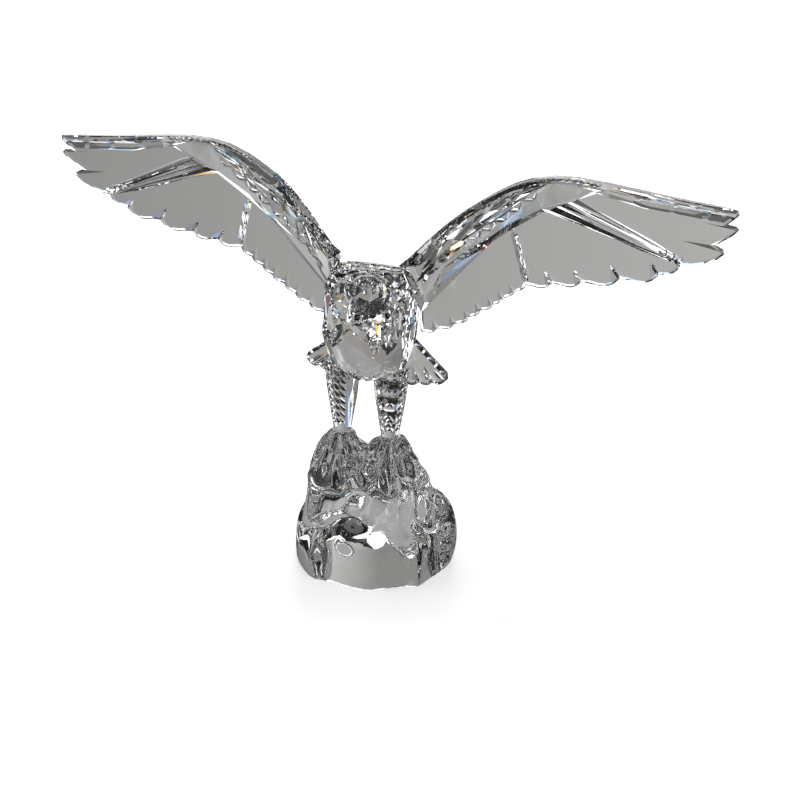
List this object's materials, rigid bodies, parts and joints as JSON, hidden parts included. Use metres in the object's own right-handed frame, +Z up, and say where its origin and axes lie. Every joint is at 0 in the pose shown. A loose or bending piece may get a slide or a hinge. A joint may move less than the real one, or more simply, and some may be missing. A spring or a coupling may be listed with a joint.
{
  "type": "crystal eagle figurine",
  "caption": "Cut-crystal eagle with raised, spread wings and fanned tail, landing on a lump of cast crystal rock.",
  "frame": {"origin": "middle of the rock's flat underside, on the surface it stands on", "axes": "-Y is the side the eagle faces, +X its own left side, +Z up"},
  "size_m": [0.252, 0.0548, 0.15],
  "materials": {
    "crystal": "clear cut and polished crystal",
    "jet": "gloss black crystal bead"
  },
  "bodies": {
    "root": {"rock": "crystal", "leg_left": "crystal", "leg_right": "crystal", "tail": "crystal", "body": "crystal", "wing_left": "crystal", "wing_right": "crystal", "head": "crystal", "eye_left": "jet", "eye_right": "jet"}
  },
  "joints": []
}
